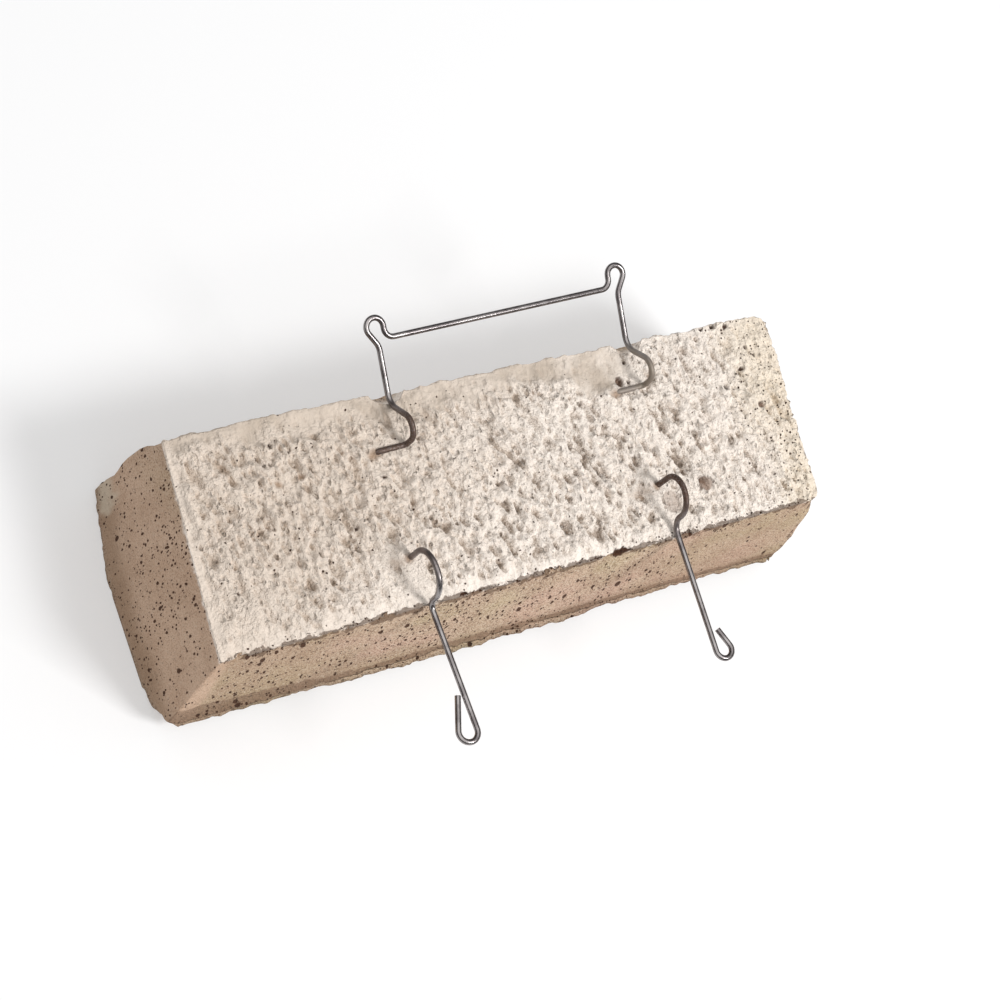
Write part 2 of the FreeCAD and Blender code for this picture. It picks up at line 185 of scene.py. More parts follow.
@dataclass
class StoneBlank:
    """The stone before its relief, in mm: a closed lattice that leans out from the back to the face."""

    back: Quad = Quad((-145.7, -44.8), (143.5, -41.1), (149.3, 44.6), (-139.6, 44.3))
    face: Quad = Quad((-152.2, -53.0), (151.4, -49.4), (157.3, 52.0), (-145.4, 51.7))
    back_size: tuple[float, float] = (295.0, 92.0)
    face_size: tuple[float, float] = (303.0, 103.0)
    depth: float = 70.0
    lower_cleft: tuple[float, float] = (20.0, 8.0)
    upper_cleft: tuple[float, float] = (12.0, 5.0)
    right_corner_radius: float = 6.0
    left_corner_radius: float = 0.8
    left_foot_radius: float = 1.5
    right_foot_radius: float = 3.0
    along: int = 480
    across: int = 144
    down: int = 16
    face_share: int = 4
    weld: float = 0.02
    bunching: tuple[float, float] = (0.085, 0.12)

    def rounded(self, s: float, t: float, outline: Quad) -> Vector:
        """The plan point of lattice share (s, t), with the outline's corners rounded.

        Args:
            s: share along the stone, from the left end.
            t: share up the outline, from the lower side.
            outline: the outline to follow.

        Returns:
            The point in plan, in mm.
        """
        left = self.left_corner_radius if outline is self.back else self.left_foot_radius
        right = self.right_corner_radius if outline is self.back else self.right_foot_radius
        radius = right if s > 0.5 else left
        reach_s, reach_t = radius / self.back_size[0], radius / self.back_size[1]
        edge_s, edge_t = min(s, 1.0 - s), min(t, 1.0 - t)
        if edge_s < reach_s and edge_t < reach_t:
            a, b = 1.0 - edge_s / reach_s, 1.0 - edge_t / reach_t
            pull = max(a, b) / max(math.hypot(a, b), 1e-9)
            edge_s, edge_t = reach_s * (1.0 - a * pull), reach_t * (1.0 - b * pull)
            s = 1.0 - edge_s if s > 0.5 else edge_s
            t = 1.0 - edge_t if t > 0.5 else edge_t
        return outline.at(s, t)

    def rim_height(self, s: float, t: float) -> float:
        """How far the face's clefts lift it off the floor.

        Args:
            s: share along the stone, from the left end.
            t: share up the outline, from the lower side.

        Returns:
            The height in mm.
        """
        length, height = self.face_size
        low = self.lower_cleft[1] * (1.0 - t * height / self.lower_cleft[0])
        high = self.upper_cleft[1] * (1.0 - (1.0 - t) * height / self.upper_cleft[0])
        right = self.upper_cleft[1] * (1.0 - (1.0 - s) * length / self.upper_cleft[0])
        return max(low, high, right, 0.0)

    def side_point(self, s: float, t: float, fall: float) -> Vector:
        """A point between the back and the face.

        Args:
            s: share along the stone, from the left end.
            t: share up the outline, from the lower side.
            fall: 0 on the back, 1 on the face.

        Returns:
            The point, in mm.
        """
        top = self.rounded(s, t, self.back).to_3d() + Vector((0.0, 0.0, self.depth))
        foot = self.rounded(s, t, self.face).to_3d() + Vector((0.0, 0.0, self.rim_height(s, t)))
        return top.lerp(foot, fall)

    def fall(self, share: float) -> float:
        """How far down a side one of its rows lies, with the rows closest together at the back's edge."""
        both, top = self.bunching
        return share - both * math.sin(math.tau * share) - top * math.sin(math.pi * share)

    @staticmethod
    def patch(bm: bmesh.types.BMesh, wide: int, high: int, place: Place, border_cuts: int = 0) -> None:
        """Adds one grid to the lattice.

        Args:
            bm: the lattice so far.
            wide: how many faces it has along.
            high: how many it has up.
            place: gives the point for a share along and a share up.
            border_cuts: cuts in each edge of its border, where a finer grid meets it.
        """
        earlier = set(bm.verts)
        bmesh.ops.create_grid(bm, x_segments=wide, y_segments=high, size=0.5)
        if border_cuts:
            border = [edge for edge in bm.edges if edge.is_boundary and edge.verts[0] not in earlier]
            bmesh.ops.subdivide_edges(bm, edges=border, cuts=border_cuts)
            bmesh.ops.triangulate(bm, faces=[face for face in bm.faces if len(face.verts) > 4])
        for vert in set(bm.verts) - earlier:
            vert.co = place(vert.co.x + 0.5, vert.co.y + 0.5)

    def lattice(self) -> bmesh.types.BMesh:
        """Builds the six welded grids.

        Returns:
            The closed lattice, in mm.
        """
        bm = bmesh.new()
        wide, high = self.along // self.face_share, self.across // self.face_share
        self.patch(bm, wide, high, lambda s, t: self.side_point(s, t, 1.0), self.face_share - 1)
        self.patch(bm, self.along, self.across, lambda s, t: self.side_point(s, t, 0.0))
        self.patch(bm, self.along, self.down, lambda s, t: self.side_point(s, 0.0, self.fall(t)))
        self.patch(bm, self.along, self.down, lambda s, t: self.side_point(s, 1.0, self.fall(t)))
        self.patch(bm, self.down, self.across, lambda s, t: self.side_point(0.0, t, self.fall(s)))
        self.patch(bm, self.down, self.across, lambda s, t: self.side_point(1.0, t, self.fall(s)))
        bmesh.ops.remove_doubles(bm, verts=bm.verts[:], dist=self.weld)
        bmesh.ops.recalc_face_normals(bm, faces=bm.faces[:])
        return bm


class Survey:
    """Where each point of the lattice is, in mm; back, under and side are 1 on that part, else 0."""

    def __init__(self, base: np.ndarray, out: np.ndarray, blank: StoneBlank) -> None:
        """Measures every point.

        Args:
            base: the lattice's points, in mm.
            out: the lattice's normals.
            blank: the blank that the lattice follows.
        """
        self.base, self.out = base, out
        self.x, self.y, self.z = base.T
        self.below = blank.depth - self.z
        self.back = (self.z > blank.depth - 0.01).astype(float)
        self.under = (out[:, 2] < -0.5).astype(float)
        self.side = (1.0 - self.back) * (1.0 - self.under)
        self.lower_side = self.side * (out[:, 1] < -0.5)
        edges = self.inside(blank.back)
        self.low_edge, self.right_edge, self.high_edge, self.left_edge = edges
        self.arris = steps(3.2, 0.0, np.where(self.back > 0.5, np.minimum.reduce(edges), self.below))
        self.rim = np.minimum.reduce(self.inside(blank.face))
        self.lip = steps(22.0, 8.0, self.z)

    def inside(self, outline: Quad) -> list[np.ndarray]:
        """How far the points are inside each line of an outline.

        Args:
            outline: the outline, in plan.

        Returns:
            The distances in mm from its lower, right, upper and left line.
        """
        corners = [outline.lower_left, outline.lower_right, outline.upper_right, outline.upper_left]
        distances = []
        for start, end in zip(corners, corners[1:] + corners[:1]):
            run = np.array(end) - np.array(start)
            run = run / np.linalg.norm(run)
            away = self.base[:, :2] - np.array(start)
            distances.append(run[0] * away[:, 1] - run[1] * away[:, 0])
        return distances

    def near_lines(self, lines: tuple[tuple[float, ...], ...]) -> np.ndarray:
        """How near the points are to any of some lines in plan.

        Args:
            lines: each line's start, end and reach in mm.

        Returns:
            1 on a line, falling to 0 at its reach.
        """
        near = np.zeros(len(self.base))
        for x0, y0, x1, y1, wide in lines:
            start, run = np.array((x0, y0)), np.array((x1 - x0, y1 - y0))
            share = np.clip((self.base[:, :2] - start) @ run / (run @ run), 0.0, 1.0)
            away = np.linalg.norm(self.base[:, :2] - start - share[:, None] * run, axis=1)
            near = np.maximum(near, 1.0 - steps(0.45 * wide, wide, away))
        return near


class Ground(Survey):
    """The surveyed lattice with its noises, laid over it as it is or as the brush slanted it."""

    LUMPS = Ripples((2.6, 5.0, 4.0))
    CRUMB_LUMPS = Ripples((1.6, 2.6, 2.2), 5.0)
    GRAINS = Ripples((1.1, 1.5, 1.4), 11.0, 2)
    BROAD = Ripples((30.0, 24.0, 30.0), 23.0, 2)
    SWELL = Ripples((8.0, 17.0, 12.0), 31.0, 2)
    RIDGES = Ripples((4.4, 11.0, 8.0), 43.0, 2)
    CALM = Ripples((34.0, 26.0, 30.0), 57.0)
    CROWD = Ripples((11.0, 17.0, 14.0), 71.0)
    WAVES = Ripples((40.0, 40.0, 6.0), 83.0, 2)
    CRUMBS = Ripples((3.0, 3.0, 2.6), 97.0, 3)
    LIP_WAVES = Ripples((20.0, 20.0, 12.0), 101.0, 2)
    LIP_LUMPS = Ripples((5.0, 5.0, 5.0), 107.0, 3)
    CHIPPING = Ripples((6.5, 5.0, 5.0), 113.0, 3)
    SPILL = Ripples((5.0, 8.0, 8.0), 131.0, 2)
    UPPER_WAVES = Ripples((13.0, 60.0, 16.0), 139.0, 3)
    FACE_LUMPS = Ripples((26.0, 20.0, 20.0), 151.0, 4)
    FACE_CHIPS = Ripples((6.0, 6.0, 6.0), 163.0, 3)
    TEARS = Ripples((7.0, 7.0, 7.0), 191.0, 3)
    BIG_CUPS = Cups((4.6, 8.2, 6.0), 7.0, 0.75)
    SMALL_CUPS = Cups((2.6, 4.2, 3.6), 17.0, 0.55)
    WIDE_CUPS = Cups((10.0, 13.0, 12.0), 61.0, 0.8)

    def __init__(self, base: np.ndarray, out: np.ndarray, stone: "CastStone") -> None:
        """Measures every point and lays the noises that several parts of the relief read.

        Args:
            base: the lattice's points, in mm.
            out: the lattice's normals.
            stone: the stone.
        """
        super().__init__(base, out, stone.blank)
        self.seed = stone.seed
        self.brushed = base.copy()
        self.brushed[:, 0] += stone.brush_slant * self.y
        self.lumps = self.brush(self.LUMPS)
        self.crumb_lumps = self.brush(self.CRUMB_LUMPS)
        self.grains = self.brush(self.GRAINS)
        self.swell = self.brush(self.SWELL)
        self.calm = self.plain(self.CALM)
        self.waves = self.plain(self.WAVES)
        self.crumbs = self.plain(self.CRUMBS)
        self.chips = steps(0.05, 0.5, self.plain(self.CHIPPING))

    def plain(self, pattern: Ripples) -> np.ndarray:
        """A noise over the points as they are."""
        return pattern.over(self.base, self.seed)

    def brush(self, pattern: Ripples) -> np.ndarray:
        """A noise over the points as the brush slanted them."""
        return pattern.over(self.brushed, self.seed)

    def scatter(self, pattern: Cups) -> np.ndarray:
        """Hollows over the slanted points, bent by the fine noise so that none is quite round."""
        bend = 0.9 * np.stack((self.grains, self.crumb_lumps, self.grains), axis=1)
        return pattern.over(self.brushed + bend, self.seed)


@dataclass
class Crust:
    """The back while it is worked: its height in mm, its crumbs and how much of them shows, and its masks."""

    height: np.ndarray
    crumbly: np.ndarray
    rough: np.ndarray
    small_cups: np.ndarray
    masks: dict[str, np.ndarray]


@dataclass
class CastStone:
    """The cast stone itself: its blank and the relief of its back, sides, edges and face, in mm."""

    blank: StoneBlank
    seed: float = 41.7
    brush_slant: float = 0.2
    notch_places: tuple[float, float] = (-40.0, 77.8)
    notch_edge: float = 44.5
    notch_radius: float = 9.0
    notch_bite: float = 4.0
    mortar_rise: float = 1.5
    pebble_rise: float = 2.0
    split_depth: float = 2.4
    rim_proud: float = 1.1
    lower_rim_proud: float = 1.2
    left_bow: float = 3.0
    right_bow: float = 5.0
    corner_bow: float = 2.6
    box_gap: float = 0.02
    spall_place: tuple[float, float, float] = (-145.0, 51.0, 6.0)

    MARKS = (
        Mark(MarkKind.DISH, 65.0, 34.0, 15.0, 9.0, 0.9),
        Mark(MarkKind.HOLLOW, 68.0, 29.0, 1.7, 2.3, 2.6),
        Mark(MarkKind.PIT, 72.2, 28.2, 0.9, 0.9, 1.2),
        Mark(MarkKind.PIT, 74.0, 37.0, 0.7, 0.9, 0.9),
        Mark(MarkKind.PATCH, 71.5, -27.0, 5.2, 5.2, 1.0),
        Mark(MarkKind.DISH, 57.0, -20.0, 9.0, 4.0, 0.6),
        Mark(MarkKind.PEBBLE, 90.0, -23.0, 3.4, 3.2, 1.0),
        Mark(MarkKind.GROOVE, -46.5, 4.0, 2.2, 16.0, 0.9),
        Mark(MarkKind.DISH, -85.0, 38.0, 40.0, 4.5, 0.6),
        Mark(MarkKind.DISH, -96.0, 16.0, 7.5, 6.0, 0.8),
        Mark(MarkKind.STAIN, -98.5, 18.0, 2.2, 1.8, 0.5),
        Mark(MarkKind.STAIN, -88.5, 19.0, 2.0, 1.5, 0.3),
        Mark(MarkKind.STAIN, 66.6, -19.0, 2.6, 2.4, 0.3),
        Mark(MarkKind.STAIN, -55.6, -23.6, 2.6, 2.4, 0.3),
        Mark(MarkKind.STAIN, -54.5, 21.4, 4.4, 2.6, 0.4),
        Mark(MarkKind.STAIN, 63.5, 24.0, 4.0, 2.4, 0.4),
        Mark(MarkKind.PIT, 134.0, 32.0, 1.0, 1.2, 1.0),
        Mark(MarkKind.PIT, 129.0, 23.0, 1.3, 1.1, 1.4),
        Mark(MarkKind.PIT, 137.0, 28.0, 0.9, 1.1, 1.0),
        Mark(MarkKind.PIT, 118.0, 16.0, 1.2, 1.4, 1.4),
        Mark(MarkKind.HOLLOW, 132.0, 5.0, 1.6, 1.6, 1.6),
        Mark(MarkKind.PIT, 117.0, 44.2, 1.3, 1.2, 1.4),
        Mark(MarkKind.PIT, 123.0, 43.4, 1.4, 1.2, 1.6),
        Mark(MarkKind.PIT, 129.0, 42.8, 1.2, 1.2, 1.3),
        Mark(MarkKind.PIT, -97.0, 34.0, 0.8, 0.9, 1.0),
        Mark(MarkKind.PIT, -90.0, 30.0, 0.7, 0.8, 0.9),
        Mark(MarkKind.PIT, -54.0, 11.0, 0.9, 0.8, 1.0),
        Mark(MarkKind.PIT, -73.0, -7.0, 0.7, 0.8, 0.9),
        Mark(MarkKind.PIT, -130.0, -21.0, 0.9, 0.8, 1.0),
    )

    CHIPS = (
        ((-152.2, -53.0, 8.0), (-0.75, -0.55, -0.5), 3.6),
        ((-145.4, 51.7, 5.0), (-0.5, 0.8, -0.25), 0.8),
    )

    GOUGES = (
        ((38.5, -44.0, 71.5), (5.6, 3.6, 4.2)),
        ((26.5, -44.2, 71.2), (4.6, 2.2, 2.6)),
        ((-38.0, -44.3, 71.0), (2.2, 2.0, 2.4)),
    )

    SMEARS = ((58.0, -20.0, 9.0, 4.5), (-62.0, -24.0, 7.0, 3.5))

    FOOT_ENDS = ((-58.0, 23.2), (61.0, 26.0))

    WIRE_PLACES = (
        (-54.3, -24.9, -54.3, -44.0, 7.0),
        (67.9, -18.0, 67.9, -42.0, 7.0),
        (-57.0, 23.0, -37.0, 24.0, 3.2),
        (-40.0, 24.0, -40.0, 45.0, 3.2),
        (62.0, 26.0, 79.0, 26.5, 3.2),
        (78.0, 26.0, 78.0, 45.0, 3.2),
    )

    def build(self) -> bpy.types.Object:
        """Builds the stone's mesh with its relief and its masks.

        Returns:
            The stone, in metres.
        """
        bm = self.blank.lattice()
        mesh = bpy.data.meshes.new("cast_stone_body")
        bm.to_mesh(mesh)
        bm.free()
        count = len(mesh.vertices)
        base, out = np.zeros(count * 3), np.zeros(count * 3)
        mesh.vertices.foreach_get("co", base)
        mesh.vertices.foreach_get("normal", out)
        shape, masks = self.relief(base.reshape(-1, 3), out.reshape(-1, 3))
        mesh.vertices.foreach_set("co", (shape * MM).ravel())
        for name, values in masks.items():
            layer = mesh.attributes.new(name, "FLOAT", "POINT")
            layer.data.foreach_set("value", np.clip(values, 0.0, 1.0).astype(np.float32))
        mesh.polygons.foreach_set("use_smooth", np.ones(len(mesh.polygons), bool))
        mesh.update()
        body = bpy.data.objects.new("cast_stone_body", mesh)
        bpy.context.scene.collection.objects.link(body)
        return body

    def relief(self, base: np.ndarray, out: np.ndarray) -> tuple[np.ndarray, dict[str, np.ndarray]]:
        """Works the relief into the blank.

        Args:
            base: the lattice's points, in mm.
            out: the lattice's normals.

        Returns:
            The finished points in mm, and the masks that the finish reads.
        """
        at = Ground(base, out, self)
        crust = self.crusted(at)
        self.marked(at, crust)
        shape = self.bowed(base + out * self.stand(at, crust)[:, None], at)
        shape, notch = self.notched(shape)
        shape, gouged = self.gouged(shape, 0.25 * at.crumbs)
        shape = self.faceted(shape, 0.5 * at.waves + 0.35 * at.crumbs)
        shape[:, 2] = np.maximum(shape[:, 2], 0.0)
        low, high = (corner[0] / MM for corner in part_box("cast_stone"))
        shape[:, 0] = np.clip(shape[:, 0], low + self.box_gap, high - self.box_gap)
        masks = crust.masks | self.zones(at, notch)
        # The gouged holes join the pit mask, so their insides take the painted hole shade.
        masks["pit"] = np.maximum(masks["pit"], gouged)
        return shape, masks

    def crusted(self, at: Ground) -> Crust:
        """The back's crumbly crust with its hollows, quieter toward its edges and beside the wires.

        Args:
            at: the surveyed lattice with its noises.

        Returns:
            The crust.
        """
        x, y, swell = at.x, at.y, at.swell
        near = at.near_lines(self.WIRE_PLACES)
        smooth = steps(0.0, 0.5, at.calm) * 0.3
        smooth = np.maximum(smooth, 0.55 * steps(9.0, 1.0, at.low_edge + 2.5 * swell))
        smooth = np.maximum(smooth, 0.8 * steps(4.5, 1.0, np.minimum(at.left_edge, at.high_edge)))
        smooth = np.maximum(smooth, 0.6 * steps(4.0, 0.5, at.right_edge))
        smooth = np.maximum(smooth, 0.45 * steps(-95.0, -125.0, x) * steps(0.0, -25.0, y))
        smooth = np.maximum(smooth, (0.15 + 0.2 * steps(5.0, 25.0, y)) * steps(80.0, 105.0, x))
        beige = steps(14.0, 5.0, at.high_edge + 5.0 * swell + 4.0 * steps(-40.0, -60.0, x))
        beige = beige * steps(64.0, 50.0, x)
        dish = np.hypot((x - 60.0) / 15.0, (y - 36.0) / 9.5) + 0.3 * swell
        beige = np.maximum(beige, steps(1.2, 0.7, dish))
        calm = np.maximum(beige, 0.8 * steps(6.0, 2.0, at.left_edge + 2.0 * swell))
        calm = np.maximum(calm, 0.7 * steps(9.0, 2.0, at.low_edge + 4.0 * swell) * steps(60.0, 30.0, x))
        calm = calm * at.back
        rough = (1.0 - smooth) * (1.0 - 0.75 * near) * (1.0 - 0.55 * calm)

        crowd = at.brush(at.CROWD)
        big_cups = at.scatter(at.BIG_CUPS) * (0.35 + 0.65 * steps(-0.25, 0.15, crowd))
        small_cups = at.scatter(at.SMALL_CUPS) * (0.5 + 0.5 * steps(0.2, -0.2, crowd))
        wide_cups = at.scatter(at.WIDE_CUPS)
        crumbly = 0.6 - 2.1 * big_cups - 1.4 * small_cups
        crumbly = crumbly + 1.7 * at.lumps + 1.3 * at.crumb_lumps + 0.9 * at.grains
        crumbly = crumbly + 1.8 * at.brush(at.RIDGES) - 0.9 * wide_cups
        height = 0.4 * at.plain(at.BROAD) + 0.7 * swell + rough * crumbly
        height = height + near * (0.2 - 0.5 * height)
        for foot_x, foot_y in self.FOOT_ENDS:
            mound = steps(6.0, 1.0, np.hypot((x - foot_x) / 1.3, y - foot_y) + 0.8 * at.crumb_lumps)
            height = height + self.mortar_rise * mound

        # Painted shade: the hollow mask darkens the crust's cups, low crumbs and wide hollows, where shade
        # falls, partly also their own greyer tone.
        hollows = np.clip(big_cups + 0.6 * small_cups, 0.0, 1.0)
        hollow_shade = 0.45 * hollows + 0.75 * steps(0.35, -1.5, crumbly) + 0.15 * wide_cups
        masks = {"hollow": at.back * rough * np.clip(hollow_shade, 0.0, 1.0), "calm": calm, "beige": beige * at.back}
        return Crust(height, crumbly, rough, small_cups, masks)

    def marked(self, at: Ground, crust: Crust) -> None:
        """Sinks or raises the single marks of the back and adds their masks.

        Args:
            at: the surveyed lattice with its noises.
            crust: the crust that takes the marks.
        """
        back, x, y = at.back, at.x, at.y
        pit, stain, pebble = (np.zeros(len(at.base)) for _ in range(3))
        for mark in self.MARKS:
            reach = mark.reach(at.base) + 0.14 * at.grains
            inside = steps(1.15, 0.55, reach) * back
            crust.height -= mark.deep * inside
            if mark.kind is MarkKind.HOLLOW:
                pebble = np.maximum(pebble, steps(1.05, 0.8, reach) * back)
                # Painted shade: a dark crescent on one side of this hollow's rim, put into the pit mask.
                shaded = steps(-0.6, 0.9, (y - mark.y) / mark.high - (x - mark.x) / mark.wide)
                pit = np.maximum(pit, 0.8 * shaded * steps(0.4, 0.15, np.abs(reach - 0.9)) * back)
            elif mark.kind is MarkKind.PIT:
                pit = np.maximum(pit, steps(1.05, 0.7, reach) * back)
            elif mark.kind is MarkKind.STAIN:
                stain = np.maximum(stain, steps(1.3, 0.2, reach) * back)
            elif mark.kind is MarkKind.PEBBLE:
                # Painted light: the pebble's higher facets, rising toward +X, take less of the pebble colour
                # and look lit.
                facet = np.clip(np.round(1.6 * at.lumps + 0.6 * (x - mark.x) / mark.wide), -1.0, 1.0)
                crust.height += (self.pebble_rise + 0.3 * facet) * mark.deep * steps(0.95, 0.4, reach) * back
                pebble = np.maximum(pebble, (0.85 - 0.15 * facet) * steps(1.05, 0.9, reach) * back)
                crack = steps(0.3, 0.1, np.abs(reach - 1.05)) * steps(0.3, -0.3, at.grains)
                pit = np.maximum(pit, 0.75 * crack * back)
            elif mark.kind is MarkKind.PATCH:
                pebble = np.maximum(pebble, (0.45 + 0.5 * crust.small_cups) * steps(1.05, 0.85, reach) * back)
                crust.height -= 0.8 * crust.rough * crust.crumbly * inside
            elif mark.kind is MarkKind.DISH:
                crust.height -= 0.7 * crust.rough * crust.crumbly * inside
        for smear_x, smear_y, wide, high in self.SMEARS:
            reach = np.hypot((x - smear_x) / wide, (y - smear_y) / high)
            stain = np.maximum(stain, 0.5 * steps(1.0, 0.2, reach + 0.35 * at.crumb_lumps) * back)
        crust.masks |= {"pit": pit, "stain": stain, "pebble": pebble}

    def stand(self, at: Ground, crust: Crust) -> np.ndarray:
        """How far each point stands out from the blank.

        Args:
            at: the surveyed lattice with its noises.
            crust: the finished crust.

        Returns:
            The height in mm along the blank's normals.
        """
        side = 0.35 * at.waves + 0.16 * at.crumbs
        side += at.lip * (0.55 * at.plain(at.LIP_WAVES) - 0.3 * steps(11.0, 7.0, at.z))
        side += 0.7 * at.lip * at.plain(at.LIP_LUMPS)

        upper = steps(6.0, 1.0, at.high_edge)
        weak = np.maximum(steps(6.0, 1.0, at.low_edge), 0.5 * steps(14.0, 1.0, at.right_edge))
        loss = at.arris * (0.1 + 1.9 * at.chips * weak)
        loss -= 0.6 * at.arris * upper * steps(-0.2, 0.5, at.plain(at.SPILL))

        lumps, chips = at.plain(at.FACE_LUMPS), at.plain(at.FACE_CHIPS)
        shelf = steps(0.02, 0.12, lumps) + steps(0.3, 0.42, lumps)
        face = -at.under * steps(0.0, 9.0, at.rim) * (self.split_depth * shelf + 2.8 * np.maximum(lumps, 0.0))
        face -= at.under * steps(0.0, 6.0, at.rim) * np.maximum(0.9 * chips + 0.5 * at.crumbs, 0.0)
        face -= at.under * steps(0.0, 2.0, at.rim) * 0.5 * chips
        return at.back * crust.height + at.side * side + face - loss

    def bowed(self, shape: np.ndarray, at: Ground) -> np.ndarray:
        """Tears the face's rim and gives the sides and edges the bows of the real outline.

        Args:
            shape: the stone's points, in mm.
            at: the surveyed lattice with its noises.

        Returns:
            The moved points.
        """
        x, y, z, out = at.x, at.y, at.z, at.out
        level = np.linalg.norm(out[:, :2], axis=1)
        ragged = (at.under * steps(0.9, 0.1, at.rim) + at.side * steps(9.0, 2.0, z)) * (level > 0.2)
        torn = 0.9 * at.plain(at.TEARS) + self.rim_proud
        lower = self.lower_rim_proud * steps(-0.2, -0.6, out[:, 1])
        torn += lower * steps(-85.0, -60.0, x) * steps(60.0, 40.0, x)
        shape[:, :2] += out[:, :2] / np.maximum(level, 0.2)[:, None] * (ragged * torn)[:, None]

        on_side = steps(40.0, 0.0, at.below) * (out[:, 1] > 0.6)
        above = np.where(at.back > 0.5, steps(12.0, 0.0, at.high_edge), on_side)
        shape[:, 1] += above * (0.9 + 0.9 * steps(-125.0, -100.0, x) * steps(-40.0, -60.0, x)
                                + 0.8 * at.plain(at.UPPER_WAVES))
        on_end = steps(60.0, 0.0, at.below) * (out[:, 0] > 0.6)
        beyond = np.where(at.back > 0.5, steps(30.0, 0.0, at.right_edge), on_end)
        shape[:, 0] += beyond * (0.6 + 1.6 * steps(-20.0, 40.0, y))

        right = steps(135.0, 151.0, x) * steps(5.0, -35.0, y) * steps(68.0, 50.0, z)
        right = right * (1.0 - 0.5 * steps(25.0, 5.0, z))
        shape[:, 0] += self.right_bow * right
        shape[:, 1] -= 1.2 * right * steps(-20.0, -45.0, y)
        corner = steps(20.0, 38.0, z) * steps(70.0, 52.0, z) * steps(-128.0, -142.0, x) * steps(32.0, 46.0, y)
        shape[:, 0] -= 0.9 * corner
        shape[:, 1] += self.corner_bow * corner
        left = steps(44.0, 12.0, y) * steps(-42.0, -4.0, y) * steps(69.0, 34.0, z) * (out[:, 0] < -0.4)
        shape[:, 0] -= self.left_bow * left
        return shape

    def zones(self, at: Ground, notch: np.ndarray) -> dict[str, np.ndarray]:
        """Where the crust, the sides and the face have their own colours.

        Args:
            at: the surveyed lattice with its noises.
            notch: 1 in the hanger's notches.

        Returns:
            A mask for each zone.
        """
        x, y, z = at.x, at.y, at.z
        broken = 1.0 - 0.8 * steps(6.0, 1.0, at.low_edge) * at.chips
        edge = at.below + 0.9 * at.crumbs + 0.5 * at.chips
        crust = np.where(at.back > 0.5, 1.0, steps(1.6, 0.6, edge) * broken)
        crust = np.maximum(crust, notch * steps(6.5, 3.5, at.below + at.crumbs))
        crumble = 1.0 - np.where(at.back > 0.5, at.low_edge / 3.4, at.below / 12.0)
        crumble *= np.maximum(at.back, at.lower_side) * (0.82 + 0.18 * steps(-125.0, -85.0, x))
        corner = steps(-7.0, -1.5, x - 143.5 - 0.113 * at.below) * steps(-25.0, -40.0, y) * at.side
        spalled = np.linalg.norm(at.base - self.spall_place, axis=1) + 4.0 * at.crumbs
        return {
            "crust": crust,
            "crumble": np.maximum(crumble, 0.58 * corner),
            "band": at.lower_side * (20.0 + 10.0 * steps(-60.0, -150.0, x) - z) / 12.0,
            "spall": at.side * steps(16.0, 11.0, spalled),
            "sandy": at.back * steps(112.0, 140.0, x + 12.0 * at.calm),
            # Darker and greyer toward the upper left of the back.
            "upper_left_tone": at.back * steps(35.0, -105.0, x + 20.0 * at.calm - 1.1 * y),
            "end_face": at.side * steps(-138.0, -143.5, x),
            "under": at.under,
            "lip": at.side * at.lip,
        }

    def notched(self, points: np.ndarray) -> tuple[np.ndarray, np.ndarray]:
        """Presses a round notch into the upper edge where each hanger leg passes.

        Args:
            points: the stone's points, in mm.

        Returns:
            The points, and a mask of those that lie in a notch.
        """
        pressed = np.zeros(len(points))
        middle = self.notch_edge + self.notch_radius - self.notch_bite
        for place in self.notch_places:
            centre = np.array((place, middle, self.blank.depth))
            away = points - centre
            reach = np.linalg.norm(away, axis=1)
            inside = reach < self.notch_radius
            points[inside] = centre + away[inside] * (self.notch_radius / reach[inside])[:, None]
            pressed[reach < self.notch_radius + 0.6] = 1.0
        return points, pressed

    def gouged(self, points: np.ndarray, ripple: np.ndarray) -> tuple[np.ndarray, np.ndarray]:
        """Sinks the broken-out holes along the lower edge.

        Args:
            points: the stone's points, in mm.
            ripple: how uneven a hole's wall is at each point, as a share of its reach.

        Returns:
            The points, and a mask of those that lie in a hole.
        """
        inside = np.zeros(len(points))
        for centre, half in self.GOUGES:
            away = (points - np.array(centre)) / np.array(half)
            reach = np.linalg.norm(away, axis=1) + ripple
            within = reach < 1.0
            points[within] = np.array(centre) + away[within] * np.array(half) / reach[within][:, None]
            inside[within] = 1.0
        return points, inside

    def faceted(self, points: np.ndarray, ripple: np.ndarray) -> np.ndarray:
        """Breaks flat chips off the stone's corners.

        Args:
            points: the stone's points, in mm.
            ripple: how uneven a broken face is at each point, in mm.

        Returns:
            The points, with those in a chip pressed onto its broken face.
        """
        for (x, y, z), turn, bite in self.CHIPS:
            turn = np.array(turn) / np.linalg.norm(turn)
            over = (points - np.array((x, y, z))) @ turn + bite + ripple
            points = points - np.maximum(over, 0.0)[:, None] * turn
        return points


